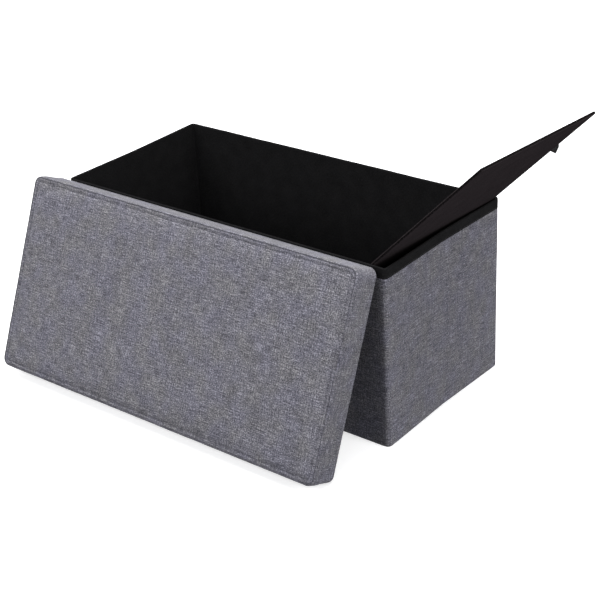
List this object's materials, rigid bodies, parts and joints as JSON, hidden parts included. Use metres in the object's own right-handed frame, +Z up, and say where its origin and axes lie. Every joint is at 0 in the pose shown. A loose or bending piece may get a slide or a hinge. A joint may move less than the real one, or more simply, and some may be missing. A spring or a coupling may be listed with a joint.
{
  "type": "storage bench",
  "caption": "Folding cloth-covered storage bench, its padded box lid leaning on the front and its stiff base board drawn half out over one end.",
  "frame": {"origin": "on the floor under the middle of the box", "axes": "+X along the bench to the right-hand end, +Y to the back, +Z up"},
  "size_m": [0.967, 0.5607, 0.5602],
  "materials": {
    "grey_cloth": "grey melange linen-look polyester, plain weave with slubs",
    "black_lining": "matt black non-woven cloth",
    "black_wrap": "matt brownish black non-woven cloth",
    "black_ribbon": "woven black ribbon",
    "stiff_board": "raw fibreboard",
    "foam": "open-cell foam",
    "staple_steel": "galvanised wire"
  },
  "bodies": {
    "box": {"bottom_cloth": "black_lining", "front_board": "stiff_board", "back_board": "stiff_board", "left_end_front_board": "stiff_board", "left_end_rear_board": "stiff_board", "right_end_front_board": "stiff_board", "right_end_rear_board": "stiff_board", "cover_front": "grey_cloth", "cover_back": "grey_cloth", "cover_left": "grey_cloth", "cover_right": "grey_cloth", "lining_front": "black_lining", "lining_back": "black_lining", "lining_left": "black_lining", "lining_right": "black_lining"},
    "lid": {"lid_top_cover": "grey_cloth", "lid_foam": "foam", "lid_board": "stiff_board", "lid_lining": "black_lining", "lid_skirt_front": "stiff_board", "lid_skirt_back": "stiff_board", "lid_skirt_left": "stiff_board", "lid_skirt_right": "stiff_board", "lid_boxing_front": "grey_cloth", "lid_boxing_back": "grey_cloth", "lid_boxing_left": "grey_cloth", "lid_boxing_right": "grey_cloth", "lid_staples": "staple_steel"},
    "base": {"base_board": "stiff_board", "base_wrap_lower": "black_wrap", "base_wrap_upper": "black_wrap", "pull_tab": "black_ribbon"}
  },
  "joints": [
    {"name": "lid_lift", "type": "slide", "parent": "box", "child": "lid", "axis": [0, 0, 1], "range_m": [0, 0.4]},
    {"name": "base_pull", "type": "slide", "parent": "box", "child": "base", "axis": [0.7009, 0, 0.7133], "range_m": [0, 0.48]}
  ]
}
